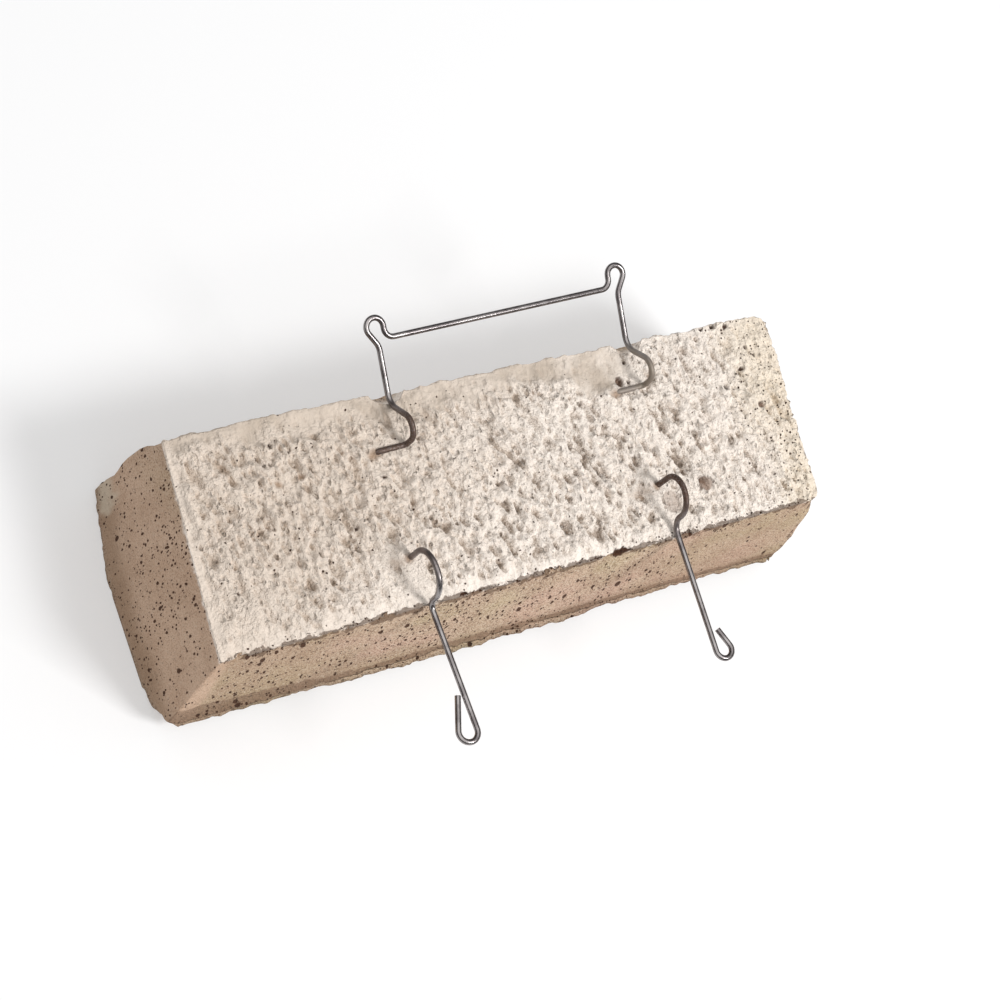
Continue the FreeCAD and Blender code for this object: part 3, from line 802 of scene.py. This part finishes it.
class NodeSheet:
    """A material's or a group's node tree, with short calls to add and join nodes."""

    def __init__(self, tree: bpy.types.NodeTree) -> None:
        """Starts on an empty tree."""
        self.tree = tree
        tree.nodes.clear()

    def add(self, kind: str, settings: dict | None = None, **inputs: Given) -> bpy.types.Node:
        """Adds a node.

        Args:
            kind: the node's Blender type.
            settings: its own properties.
            inputs: a value or an output socket for each named input; _ stands for a space.

        Returns:
            The node.
        """
        node = self.tree.nodes.new(kind)
        for name, value in (settings or {}).items():
            setattr(node, name, value)
        for name, value in inputs.items():
            self.feed(node.inputs[name.replace("_", " ")], value)
        return node

    def group(self, tree: bpy.types.NodeTree, **inputs: Given) -> bpy.types.Node:
        """Places a shared group with its own values."""
        return self.add("ShaderNodeGroup", {"node_tree": tree}, **inputs)

    def feed(self, socket: Socket, value: Given) -> None:
        """Gives a socket its value.

        Args:
            socket: the socket.
            value: an output to join to it, or its own value.
        """
        if isinstance(value, Socket):
            self.tree.links.new(value, socket)
        else:
            socket.default_value = value

    def fed(self, kind: str, settings: dict, inputs: Iterable[tuple[int, Given]]) -> bpy.types.Node:
        """Adds a node whose inputs are given by number.

        Args:
            kind: the node's Blender type.
            settings: its own properties.
            inputs: each input's number, with its value or an output socket.

        Returns:
            The node.
        """
        node = self.add(kind, settings)
        for index, value in inputs:
            self.feed(node.inputs[index], value)
        return node

    def math(self, operation: str, *values: Given) -> Socket:
        """A Math node's result for up to three values."""
        return self.fed("ShaderNodeMath", {"operation": operation}, enumerate(values)).outputs[0]

    def vectors(self, operation: str, *values: Given) -> bpy.types.Node:
        """A Vector Math node for up to three values."""
        return self.fed("ShaderNodeVectorMath", {"operation": operation}, enumerate(values))

    def times(self, first: Given, second: Given) -> Socket:
        """One value times another."""
        return self.math("MULTIPLY", first, second)

    def line(self, value: Given, slope: Given, start: Given) -> Socket:
        """A value times a slope, plus a start."""
        return self.math("MULTIPLY_ADD", value, slope, start)

    def minus(self, first: Given, second: Given) -> Socket:
        """One value less another."""
        return self.math("SUBTRACT", first, second)

    def most(self, first: Given, second: Given) -> Socket:
        """The larger of two values."""
        return self.math("MAXIMUM", first, second)

    def blend(self, share: Given, first: Given, second: Given) -> Socket:
        """Two colours mixed by a share."""
        inputs = ((0, share), (6, first), (7, second))
        return self.fed("ShaderNodeMix", {"data_type": "RGBA"}, inputs).outputs[2]

    def grade(self, value: Given, low: float, high: float, start: float = 0.0, end: float = 1.0) -> Socket:
        """A smooth grade of a value from low to high, put out from start to end."""
        inputs = enumerate((value, low, high, start, end))
        return self.fed("ShaderNodeMapRange", {"interpolation_type": "SMOOTHSTEP"}, inputs).outputs[0]

    def mixed(self, share: Given, first: bpy.types.Node, second: bpy.types.Node) -> bpy.types.Node:
        """Two surfaces mixed by a share."""
        inputs = ((0, share), (1, first.outputs[0]), (2, second.outputs[0]))
        return self.fed("ShaderNodeMixShader", {}, inputs)

    def noise(self, place: Given, scale: Given, detail: float, rough: float = 0.5) -> Socket:
        """A noise's value."""
        inputs = {"Vector": place, "Scale": scale, "Detail": detail, "Roughness": rough}
        return self.add("ShaderNodeTexNoise", **inputs).outputs[0]

    def turned(self, place: Given, turn: tuple, scale: tuple) -> Socket:
        """A place turned and scaled."""
        return self.add("ShaderNodeMapping", Vector=place, Rotation=turn, Scale=scale).outputs[0]

    def mask(self, name: str) -> Socket:
        """One of the mesh's masks."""
        return self.add("ShaderNodeAttribute", {"attribute_name": name}).outputs["Fac"]

    def part(self, name: str, amount: float) -> Socket:
        """One of the mesh's masks, times an amount."""
        return self.times(self.mask(name), amount)


def linear(value: int) -> float:
    """A display value of 0 to 255 as a linear share."""
    share = value / 255.0
    return share / 12.92 if share <= 0.04045 else ((share + 0.055) / 1.055) ** 2.4


def colour(red: int, green: int, blue: int) -> tuple[float, float, float, float]:
    """A linear colour from its three display values of 0 to 255."""
    return linear(red), linear(green), linear(blue), 1.0


Sockets = bpy.types.bpy_prop_collection
GroupParts = tuple[NodeSheet, Sockets, Sockets]


class Effects:
    """The shader groups that the finishes share; wander is how far a pore's outline strays, in metres."""

    wander: float = 0.0006

    def __init__(self) -> None:
        """Builds each group once."""
        self.pores = self.build_pores()
        self.sand = self.build_sand()

    @staticmethod
    def new_group(name: str, inputs: tuple[str, ...], outputs: tuple[str, ...]) -> GroupParts:
        """An empty group with named sockets.

        Args:
            name: the group's name.
            inputs: its inputs, where Vector is a vector and the others are numbers.
            outputs: its outputs, which are numbers.

        Returns:
            The group's sheet, what it is given and what it puts out.
        """
        tree = bpy.data.node_groups.new(name, "ShaderNodeTree")
        for side, labels in (("INPUT", inputs), ("OUTPUT", outputs)):
            for label in labels:
                kind = "NodeSocketVector" if label == "Vector" else "NodeSocketFloat"
                tree.interface.new_socket(name=label, in_out=side, socket_type=kind)
        sheet = NodeSheet(tree)
        return sheet, sheet.add("NodeGroupInput").outputs, sheet.add("NodeGroupOutput").inputs

    def build_pores(self) -> bpy.types.NodeTree:
        """Round air holes of mixed size, in some of the cells only.

        Returns:
            The group.
        """
        sheet, given, put = self.new_group("pores", ("Vector", "Cells", "Share", "Reach"), ("Mask", "Cup"))
        stray = sheet.add("ShaderNodeTexNoise", Vector=given["Vector"], Scale=900.0, Detail=1.0)
        reach = (self.wander,) * 3
        shift = sheet.vectors("MULTIPLY_ADD", stray.outputs["Color"], reach, given["Vector"])
        cells = sheet.add("ShaderNodeTexVoronoi", Vector=shift.outputs[0], Scale=given["Cells"])
        parts = sheet.add("ShaderNodeSeparateColor", Color=cells.outputs["Color"]).outputs
        reach = sheet.times(sheet.line(parts[0], 0.7, 0.3), given["Reach"])
        near = sheet.math("DIVIDE", cells.outputs["Distance"], reach)
        chosen = sheet.math("LESS_THAN", parts[1], given["Share"])
        sheet.feed(put["Mask"], sheet.times(sheet.grade(near, 1.0, 0.75), chosen))
        sheet.feed(put["Cup"], sheet.times(sheet.grade(near, 1.0, 0.1), chosen))
        return sheet.tree

    def build_sand(self) -> bpy.types.NodeTree:
        """Fine sand and a broader cloud, each about a middle of one half.

        Returns:
            The group.
        """
        sheet, given, put = self.new_group("sand", ("Vector", "Grains", "Clouds"), ("Fine", "Cloud"))
        sheet.feed(put["Fine"], sheet.noise(given["Vector"], given["Grains"], 1.0))
        sheet.feed(put["Cloud"], sheet.noise(given["Vector"], given["Clouds"], 3.0))
        return sheet.tree


@dataclass(frozen=True)
class StoneFinish:
    """The cast stone's colours, how strongly each covers, and its pores per metre with their reach."""

    crust_light: tuple = colour(251, 240, 229)
    # The painted shade in the crust's hollows, dents and low grains, partly their own greyer tone; also the
    # colour of random darker blotches.
    crust_shade_and_blotch: tuple = colour(166, 149, 134)
    crust_sandy: tuple = colour(240, 224, 200)
    crust_upper_left_tone: tuple = colour(214, 196, 178)
    crust_beige: tuple = colour(193, 178, 162)
    body_light: tuple = colour(198, 172, 148)
    body_dark: tuple = colour(178, 151, 127)
    body_rosy: tuple = colour(202, 166, 148)
    body_olive: tuple = colour(184, 166, 132)
    # Painted light: the end face, which faces away from the lamp, takes a lighter copy of the body's colour.
    end_lifted: tuple = colour(218, 188, 164)
    end_lifted_dark: tuple = colour(201, 170, 146)
    lip: tuple = colour(150, 122, 98)
    band: tuple = colour(134, 108, 88)
    spall: tuple = colour(206, 192, 172)
    crumble: tuple = colour(98, 76, 59)
    # The painted shade inside the air holes, pits and gouges; also the colour of the sides' small dark
    # flecks.
    pore: tuple = colour(66, 38, 22)
    stain: tuple = colour(150, 118, 90)
    pebble: tuple = colour(144, 120, 104)
    upper_left_tone_share: float = 0.58
    sandy_share: float = 0.6
    lip_share: float = 0.55
    spall_share: float = 0.7
    band_share: float = 0.65
    crumble_share: float = 0.75
    stain_share: float = 0.75
    hole_share: float = 0.94
    dents_per_metre: float = 430.0
    coarse_pores: tuple[float, float] = (190.0, 0.31)
    middle_pores: tuple[float, float] = (420.0, 0.36)
    small_pores: tuple[float, float] = (800.0, 0.45)
    roughness: float = 0.93
    sheen: float = 0.2
    bump_depth: float = 0.0015

    def make(self, effects: Effects) -> bpy.types.Material:
        """The finish as a material."""
        return StoneSheet(bpy.data.materials.new("cast_stone"), effects, self).dressed()


class StoneSheet(NodeSheet):
    """The cast stone's nodes, with the patterns that both its colours and its bumps read."""

    def __init__(self, material: bpy.types.Material, effects: Effects, look: StoneFinish) -> None:
        """Places the patterns.

        Args:
            material: the stone's material.
            effects: the shared shader groups.
            look: the stone's finish.
        """
        material.use_nodes = True
        super().__init__(material.node_tree)
        self.material, self.effects, self.look = material, effects, look
        self.place = self.add("ShaderNodeTexCoord").outputs["Object"]
        self.along = self.add("ShaderNodeSeparateXYZ", Vector=self.place).outputs[0]
        self.crust = self.mask("crust")
        self.sand = self.group(effects.sand, Vector=self.place, Grains=900.0, Clouds=60.0).outputs
        self.speck = self.group(effects.sand, Vector=self.place, Grains=1500.0, Clouds=260.0).outputs
        brushed = self.turned(self.place, (0.0, 0.0, 0.2), (1.0, 0.6, 1.0))
        dents = self.group(effects.pores, Vector=brushed, Cells=look.dents_per_metre, Share=0.45, Reach=0.62)
        self.crumbs = self.noise(brushed, 640.0, 2.0)
        self.lively = self.line(self.mask("calm"), -0.5, 1.0)
        self.dents = self.times(dents.outputs["Cup"], self.lively)
        self.broken = self.noise(self.place, 170.0, 4.0, 0.6)
        self.band = self.ragged("band", 0.8, 0.42, 0.58)

    def dressed(self) -> bpy.types.Material:
        """Joins the patterns into the stone's surface.

        Returns:
            The material.
        """
        look = self.look
        tone = self.blend(self.crust, self.brown(), self.pale())
        crumble = self.times(self.ragged("crumble", 2.2, 0.66, 0.78), look.crumble_share)
        tone = self.blend(crumble, tone, look.crumble)
        tone = self.blend(self.part("stain", look.stain_share), tone, look.stain)
        tone = self.blend(self.mask("pebble"), tone, look.pebble)
        holes = self.holes()
        # Painted shade: the holes and pits are painted dark, standing in for the shade inside them.
        tone = self.blend(self.times(holes, look.hole_share), tone, look.pore)
        bump = self.add("ShaderNodeBump", Strength=1.0, Distance=look.bump_depth, Height=self.height(holes))
        skin = self.add("ShaderNodeBsdfPrincipled", Base_Color=tone, Roughness=look.roughness)
        self.feed(skin.inputs["Normal"], bump.outputs[0])
        self.feed(skin.inputs["Specular IOR Level"], look.sheen)
        self.add("ShaderNodeOutputMaterial", Surface=skin.outputs[0])
        return self.material

    def ragged(self, name: str, wild: float, low: float, high: float) -> Socket:
        """A mask whose ramp is broken up by the noise.

        Args:
            name: the mask.
            wild: how far the noise moves its edge.
            low: where the broken ramp is 0.
            high: where it is 1.

        Returns:
            The broken mask.
        """
        ramp = self.minus(self.mask(name), 0.5 * wild)
        return self.grade(self.line(self.broken, wild, ramp), low, high)

    def pale(self) -> Socket:
        """The colour of the crust, with painted shade in its hollows, dents and low grains.

        Returns:
            The colour.
        """
        look = self.look
        # Painted shade: the crust is darkened in the low grains of the fine bump pattern, in the dents and by
        # the hollow mask.
        low_grain_shade = self.times(self.grade(self.speck["Fine"], 0.56, 0.34, 0.0, 0.38), self.lively)
        hollow = self.line(self.dents, 0.45, self.line(self.mask("hollow"), 0.95, low_grain_shade))
        pale = self.blend(self.grade(hollow, 0.0, 1.2), look.crust_light, look.crust_shade_and_blotch)
        # The crust darker and greyer toward the upper left.
        pale = self.blend(self.part("upper_left_tone", look.upper_left_tone_share), pale, look.crust_upper_left_tone)
        beige = self.times(self.mask("beige"), self.grade(self.sand["Cloud"], 0.3, 0.7, 0.35, 0.9))
        pale = self.blend(beige, pale, look.crust_beige)
        pale = self.blend(self.part("sandy", look.sandy_share), pale, look.crust_sandy)
        # Random darker blotches, in the colour of the painted hollow shade.
        return self.blend(self.grade(self.speck["Cloud"], 0.5, 0.8, 0.0, 0.3), pale, look.crust_shade_and_blotch)

    def brown(self) -> Socket:
        """The colour of the sides and the face, with its flecks, its lip and its bands.

        Returns:
            The colour.
        """
        look = self.look
        cloud = self.grade(self.sand["Cloud"], 0.3, 0.7)
        tint = self.noise(self.place, 24.0, 2.0)
        brown = self.blend(cloud, look.body_light, look.body_dark)
        brown = self.blend(self.grade(tint, 0.5, 0.68, 0.0, 0.6), brown, look.body_rosy)
        brown = self.blend(self.grade(tint, 0.5, 0.34, 0.0, 0.6), brown, look.body_olive)
        # Painted light: the end face is coloured lighter than the body, lifting it out of the lamp's shade.
        end = self.blend(cloud, look.end_lifted, look.end_lifted_dark)
        brown = self.blend(self.mask("end_face"), brown, end)
        flecked = self.line(self.mask("end_face"), -0.45, 1.0)
        # Dark flecks in the painted pore shade colour, pale flecks in the spall colour.
        for low, high, amount, fleck in ((0.5, 0.7, 0.74, look.pore), (0.48, 0.3, 0.8, look.spall)):
            share = self.times(self.grade(self.speck["Fine"], low, high, 0.0, amount), flecked)
            brown = self.blend(share, brown, fleck)
        brown = self.blend(self.grade(self.along, -0.04, -0.14, 0.0, 0.35), brown, look.lip)
        brown = self.blend(self.grade(self.along, 0.03, 0.10, 0.0, 0.25), brown, look.lip)
        brown = self.blend(self.part("lip", look.lip_share), brown, look.lip)
        brown = self.blend(self.part("spall", look.spall_share), brown, look.spall)
        return self.blend(self.times(self.band, look.band_share), brown, look.band)

    def holes(self) -> Socket:
        """Where the air holes and the pits are.

        Returns:
            A mask of them.
        """
        patches = self.grade(self.noise(self.place, 38.0, 2.0), 0.42, 0.62)
        on_side = self.times(self.line(patches, 0.55, 0.3), self.minus(1.0, self.crust))
        on_side = self.times(on_side, self.line(self.mask("under"), -0.85, 1.0))
        on_side = self.times(on_side, self.grade(self.along, 0.13, -0.03, 0.35, 1.0))
        on_end = self.grade(self.mask("end_face"), 0.0, 1.0, 1.0, 0.4)
        on_back = self.line(self.mask("sandy"), 0.34, 0.03)
        on_back = self.line(self.mask("crumble"), 0.5, on_back)
        turned = self.turned(self.place, (0.0, 0.3, 0.0), (1.0, 1.0, 1.0))
        tall = self.turned(turned, (0.0, 0.0, 0.0), (1.0, 1.0, 0.4))
        some = self.times(on_side, on_end)
        few = self.times(self.times(some, on_end), 0.85)
        many = self.most(self.times(on_side, 0.6), on_back)
        holes = self.mask("pit")
        sizes = (self.look.coarse_pores, self.look.middle_pores, self.look.small_pores)
        for (cells, reach), share in zip(sizes, (few, some, many)):
            pores = self.group(self.effects.pores, Vector=tall, Cells=cells, Share=share, Reach=reach)
            holes = self.most(holes, pores.outputs["Mask"])
        return holes

    def height(self, holes: Given) -> Socket:
        """The fine bumps of the crust, the sides and the holes.

        Args:
            holes: the mask of the holes.

        Returns:
            Their height, as a share of the bump's depth.
        """
        height = self.line(self.sand["Fine"], 0.6, self.times(self.speck["Fine"], 0.3))
        height = self.line(self.crumbs, 0.7, height)
        height = self.minus(height, self.times(self.dents, 0.75))
        height = self.times(height, self.lively)
        strength = self.most(self.line(self.crust, 0.62, 0.38), self.band)
        height = self.times(height, self.most(strength, self.mask("under")))
        return self.minus(height, self.times(holes, 0.35))


@dataclass(frozen=True)
class WireFinish:
    """Drawn steel wire, greyed and browned where the cement has touched it."""

    bright: tuple = colour(152, 147, 146)
    dull: tuple = colour(118, 112, 112)
    brown: tuple = colour(76, 52, 38)
    dusted: tuple = colour(158, 146, 130)
    bump_depth: float = 0.00012
    bump_strength: float = 0.12
    clean_rough: float = 0.22
    worn_rough: float = 0.3

    def make(self, effects: Effects) -> bpy.types.Material:
        """Builds the material.

        Args:
            effects: the shared shader groups.

        Returns:
            The material.
        """
        material = bpy.data.materials.new("steel_wire")
        material.use_nodes = True
        sheet = NodeSheet(material.node_tree)
        place = sheet.add("ShaderNodeTexCoord").outputs["Object"]
        x, y = sheet.add("ShaderNodeSeparateXYZ", Vector=place).outputs[:2]
        fog = sheet.group(effects.sand, Vector=place, Grains=1400.0, Clouds=130.0).outputs
        at_hanger = sheet.math("GREATER_THAN", y, 0.0)
        patchy = sheet.grade(fog["Fine"], 0.25, 0.6, 0.55, 1.0)
        browned = sheet.times(self.inboard(sheet, x, y, at_hanger), patchy)
        on_foot = sheet.times(sheet.grade(sheet.math("ABSOLUTE", y), 0.047, 0.038), at_hanger)
        on_foot = sheet.times(on_foot, sheet.grade(x, -0.01, 0.05, 0.1, 0.95))
        tone = sheet.blend(sheet.grade(fog["Cloud"], 0.4, 0.62), self.bright, self.dull)
        tone = sheet.blend(browned, tone, self.brown)
        tone = sheet.blend(sheet.times(on_foot, fog["Cloud"]), tone, self.dusted)
        worn = sheet.most(browned, on_foot)
        rough = sheet.line(worn, self.worn_rough, sheet.line(fog["Fine"], 0.06, self.clean_rough))
        bump = sheet.add("ShaderNodeBump", Strength=self.bump_strength, Distance=self.bump_depth)
        sheet.feed(bump.inputs["Height"], fog["Fine"])
        skin = sheet.add("ShaderNodeBsdfPrincipled", Base_Color=tone, Roughness=rough, Normal=bump.outputs[0])
        sheet.feed(skin.inputs["Metallic"], sheet.line(worn, -0.6, 0.9))
        sheet.add("ShaderNodeOutputMaterial", Surface=skin.outputs[0])
        return material

    def inboard(self, sheet: NodeSheet, x: Given, y: Given, at_hanger: Given) -> Socket:
        """Where the wires lie over the stone, each wire as strongly browned as in the photograph.

        Args:
            sheet: the wires' sheet.
            x: the place along the stone, in metres.
            y: the place across it, in metres.
            at_hanger: 1 on the hanger, 0 on the ties.

        Returns:
            How brown the wires may be.
        """
        by_tie = sheet.grade(x, -0.02, 0.03, 0.35, 1.0)
        by_hanger = sheet.grade(x, -0.03, 0.03, 0.95, 0.5)
        share = sheet.fed("ShaderNodeMix", {}, ((0, at_hanger), (2, by_tie), (3, by_hanger)))
        return sheet.times(sheet.grade(sheet.math("ABSOLUTE", y), 0.046, 0.030), share.outputs[0])


@dataclass
class Wires:
    """The hanger wire and the two tie wires, kept as the frame has them."""

    names: tuple[str, ...] = ("hanger_wire", "tie_wire_left", "tie_wire_right")

    def dress(self, nodes: dict[str, bpy.types.Object], material: bpy.types.Material) -> None:
        """Gives each wire its finish.

        Args:
            nodes: the frame's pieces by name.
            material: the wires' finish.
        """
        for name in self.names:
            node = nodes[name]
            node.data.materials.clear()
            node.data.materials.append(material)
            LOG.info("dressed %s", name)


@dataclass
class Studio:
    """Floor, lamp, world and camera; none of it is part of the object."""

    camera_place: tuple = (-0.5029, -0.2123, 0.9373)
    camera_right: tuple = (0.8496, -0.3353, 0.4071)
    camera_up: tuple = (0.2040, 0.9208, 0.3326)
    camera_back: tuple = (-0.4863, -0.1995, 0.8507)
    lens: float = 90.0
    sensor: float = 36.0
    clip: tuple[float, float] = (0.01, 50.0)
    floor_half: float = 2.0
    floor_fade: tuple[float, float] = (0.5, 1.2)
    floor_gap: float = 0.0003
    floor_tone: tuple = (0.98, 0.98, 0.985, 1.0)
    floor_roughness: float = 0.95
    floor_glow: tuple = (1.0, 0.98, 0.96, 1.0)
    glow_power: float = 0.6
    close_reach: float = 0.04
    shadow_lift: float = 0.35
    lamp_place: tuple = (0.60, -0.90, 1.40)
    lamp_aim: tuple = (0.0, 0.0, 0.04)
    lamp_size: float = 0.5
    lamp_power: float = 20.0
    fill: float = 0.6
    white: tuple = (1.0, 1.0, 1.0, 1.0)
    bright_side: tuple = (-0.15, 0.0, 0.989)
    bright_edge: tuple[float, float] = (0.62, 0.88)
    mirrored: tuple[float, float] = (0.10, 1.7)

    def build(self) -> None:
        """Sets up the floor, the lamp, the world and the camera."""
        self.floor()
        self.lamp()
        self.world()
        self.camera()

    def floor(self) -> None:
        """A plain pale floor."""
        bm = bmesh.new()
        bmesh.ops.create_grid(bm, x_segments=1, y_segments=1, size=self.floor_half)
        mesh = bpy.data.meshes.new("floor")
        bm.to_mesh(mesh)
        bm.free()
        mesh.materials.append(self.floor_finish())
        floor = bpy.data.objects.new("floor", mesh)
        floor.location.z = -self.floor_gap
        bpy.context.scene.collection.objects.link(floor)

    def floor_finish(self) -> bpy.types.Material:
        """The floor's look: clear from below, and lighting what rests on it so its underside can be seen.

        Returns:
            The material.
        """
        material = bpy.data.materials.new("floor")
        material.use_nodes = True
        sheet = NodeSheet(material.node_tree)
        skin = sheet.add("ShaderNodeBsdfPrincipled", Base_Color=self.floor_tone)
        sheet.feed(skin.inputs["Roughness"], self.floor_roughness)
        sheet.feed(skin.inputs["Specular IOR Level"], 0.0)
        path = sheet.add("ShaderNodeLightPath").outputs
        close = sheet.grade(path["Ray Length"], self.close_reach, 0.5 * self.close_reach)
        glow = sheet.add("ShaderNodeEmission", Color=self.floor_glow, Strength=self.glow_power)
        lit = sheet.mixed(sheet.times(close, path["Is Diffuse Ray"]), skin, glow)
        white = sheet.add("ShaderNodeEmission", Color=self.white)
        seen = sheet.mixed(sheet.times(path["Is Camera Ray"], self.shadow_lift), lit, white)
        out = sheet.vectors("LENGTH", sheet.add("ShaderNodeTexCoord").outputs["Object"])
        far = sheet.grade(out.outputs["Value"], *self.floor_fade)
        below = sheet.add("ShaderNodeNewGeometry").outputs["Backfacing"]
        clear = sheet.add("ShaderNodeBsdfTransparent")
        either = sheet.mixed(sheet.most(below, far), seen, clear)
        sheet.add("ShaderNodeOutputMaterial", Surface=either.outputs[0])
        return material

    def lamp(self) -> None:
        """A square soft lamp aimed at the stone."""
        data = bpy.data.lights.new("key", "AREA")
        data.shape = "SQUARE"
        data.size = self.lamp_size
        data.energy = self.lamp_power
        lamp = bpy.data.objects.new("key", data)
        lamp.location = self.lamp_place
        aim = Vector(self.lamp_aim) - Vector(self.lamp_place)
        lamp.rotation_euler = aim.to_track_quat("-Z", "Y").to_euler()
        bpy.context.scene.collection.objects.link(lamp)

    def world(self) -> None:
        """Even light from all round, white to the camera and from one side in reflections."""
        world = bpy.data.worlds.new("studio")
        bpy.context.scene.world = world
        world.use_nodes = True
        sheet = NodeSheet(world.node_tree)
        path = sheet.add("ShaderNodeLightPath").outputs
        seen = sheet.most(path["Is Camera Ray"], path["Is Transmission Ray"])
        from_here = sheet.add("ShaderNodeTexCoord").outputs["Generated"]
        toward = sheet.vectors("DOT_PRODUCT", from_here, self.bright_side)
        mirrored = sheet.grade(toward.outputs["Value"], *self.bright_edge, *self.mirrored)
        around = sheet.line(seen, 1.0 - self.fill, self.fill)
        strength = sheet.add("ShaderNodeMix", Factor=path["Is Glossy Ray"], A=around, B=mirrored).outputs[0]
        glow = sheet.add("ShaderNodeBackground", Color=self.white, Strength=strength)
        sheet.add("ShaderNodeOutputWorld", Surface=glow.outputs[0])

    def camera(self) -> None:
        """A camera at the photograph's viewing angle."""
        data = bpy.data.cameras.new("camera")
        data.lens, data.sensor_width = self.lens, self.sensor
        data.clip_start, data.clip_end = self.clip
        camera = bpy.data.objects.new("camera", data)
        turn = Matrix((self.camera_right, self.camera_up, self.camera_back)).transposed()
        camera.matrix_world = Matrix.Translation(self.camera_place) @ turn.to_4x4()
        bpy.context.scene.collection.objects.link(camera)
        bpy.context.scene.camera = camera


def main() -> None:
    """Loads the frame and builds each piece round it."""
    logging.basicConfig(level=logging.INFO, format="%(message)s")
    scene = bpy.context.scene
    for thing in list(scene.objects):
        bpy.data.objects.remove(thing)
    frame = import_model()
    scene.view_settings.view_transform = "Standard"
    Studio().build()
    effects = Effects()
    body = CastStone(StoneBlank()).build()
    body.data.materials.append(StoneFinish().make(effects))
    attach(body, "root")
    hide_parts("cast_stone")
    LOG.info("built %s with %d faces", body.name, len(body.data.polygons))
    Wires().dress(frame["nodes"], WireFinish().make(effects))


if __name__ == "__main__":
    main()
